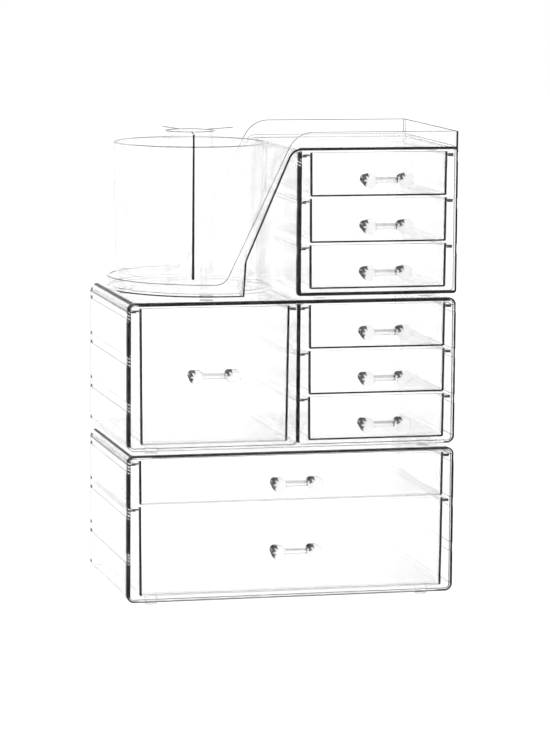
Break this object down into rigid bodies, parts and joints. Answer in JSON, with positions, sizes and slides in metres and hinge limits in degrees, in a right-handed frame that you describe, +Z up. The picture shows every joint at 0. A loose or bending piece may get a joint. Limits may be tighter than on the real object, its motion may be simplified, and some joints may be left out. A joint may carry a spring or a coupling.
{
  "type": "brush holder with drawers",
  "caption": "Clear stackable vanity organiser with sliding drawers, a rimmed top deck and a turning brush cup with a lift-out divider.",
  "frame": {"origin": "centre of the bounding box's footprint, at the undersides of the feet", "axes": "+Z up, -Y the front where the drawers open, +X to the right of someone facing the front"},
  "size_m": [0.24, 0.155, 0.336],
  "materials": {
    "case_clear": "clear, polished",
    "drawer_clear": "clear, polished",
    "handle_clear": "clear, polished",
    "cup_clear": "clear, polished",
    "turntable_clear": "clear, semi-gloss"
  },
  "bodies": {
    "lower_unit": {"lower_case": "case_clear"},
    "middle_unit": {"middle_case": "case_clear"},
    "upper_unit": {"upper_case": "case_clear", "top_tray": "case_clear", "turntable_base": "turntable_clear", "pivot_cap": "turntable_clear"},
    "cup_turntable": {"turntable_disc": "turntable_clear", "brush_cup": "cup_clear"},
    "divider": {"cup_divider": "cup_clear"},
    "lower_drawer_shallow": {"lower_drawer_shallow": "drawer_clear", "lower_handle_shallow": "handle_clear"},
    "lower_drawer_deep": {"lower_drawer_deep": "drawer_clear", "lower_handle_deep": "handle_clear"},
    "middle_drawer_deep": {"middle_drawer_deep": "drawer_clear", "middle_handle_deep": "handle_clear"},
    "middle_drawer_top": {"middle_drawer_top": "drawer_clear", "middle_handle_top": "handle_clear"},
    "middle_drawer_centre": {"middle_drawer_centre": "drawer_clear", "middle_handle_centre": "handle_clear"},
    "middle_drawer_bottom": {"middle_drawer_bottom": "drawer_clear", "middle_handle_bottom": "handle_clear"},
    "upper_drawer_top": {"upper_drawer_top": "drawer_clear", "upper_handle_top": "handle_clear"},
    "upper_drawer_centre": {"upper_drawer_centre": "drawer_clear", "upper_handle_centre": "handle_clear"},
    "upper_drawer_bottom": {"upper_drawer_bottom": "drawer_clear", "upper_handle_bottom": "handle_clear"}
  },
  "joints": [
    {"name": "middle_unit_lift", "type": "slide", "parent": "lower_unit", "child": "middle_unit", "axis": [0, 0, 1], "range_m": [0, 0.15]},
    {"name": "upper_unit_lift", "type": "slide", "parent": "middle_unit", "child": "upper_unit", "axis": [0, 0, 1], "range_m": [0, 0.15]},
    {"name": "lower_drawer_shallow_slide", "type": "slide", "parent": "lower_unit", "child": "lower_drawer_shallow", "axis": [0, -1, 0], "range_m": [0, 0.115]},
    {"name": "lower_drawer_deep_slide", "type": "slide", "parent": "lower_unit", "child": "lower_drawer_deep", "axis": [0, -1, 0], "range_m": [0, 0.115]},
    {"name": "middle_drawer_deep_slide", "type": "slide", "parent": "middle_unit", "child": "middle_drawer_deep", "axis": [0, -1, 0], "range_m": [0, 0.115]},
    {"name": "middle_drawer_top_slide", "type": "slide", "parent": "middle_unit", "child": "middle_drawer_top", "axis": [0, -1, 0], "range_m": [0, 0.115]},
    {"name": "middle_drawer_centre_slide", "type": "slide", "parent": "middle_unit", "child": "middle_drawer_centre", "axis": [0, -1, 0], "range_m": [0, 0.115]},
    {"name": "middle_drawer_bottom_slide", "type": "slide", "parent": "middle_unit", "child": "middle_drawer_bottom", "axis": [0, -1, 0], "range_m": [0, 0.115]},
    {"name": "upper_drawer_top_slide", "type": "slide", "parent": "upper_unit", "child": "upper_drawer_top", "axis": [0, -1, 0], "range_m": [0, 0.115]},
    {"name": "upper_drawer_centre_slide", "type": "slide", "parent": "upper_unit", "child": "upper_drawer_centre", "axis": [0, -1, 0], "range_m": [0, 0.115]},
    {"name": "upper_drawer_bottom_slide", "type": "slide", "parent": "upper_unit", "child": "upper_drawer_bottom", "axis": [0, -1, 0], "range_m": [0, 0.115]},
    {"name": "cup_spin", "type": "hinge", "parent": "upper_unit", "child": "cup_turntable", "pos_m": [-0.06039, 0.0085, 0.2258], "axis": [0, 0, 1], "continuous": true},
    {"name": "divider_lift", "type": "slide", "parent": "cup_turntable", "child": "divider", "axis": [0, 0, 1], "range_m": [0, 0.11]}
  ]
}
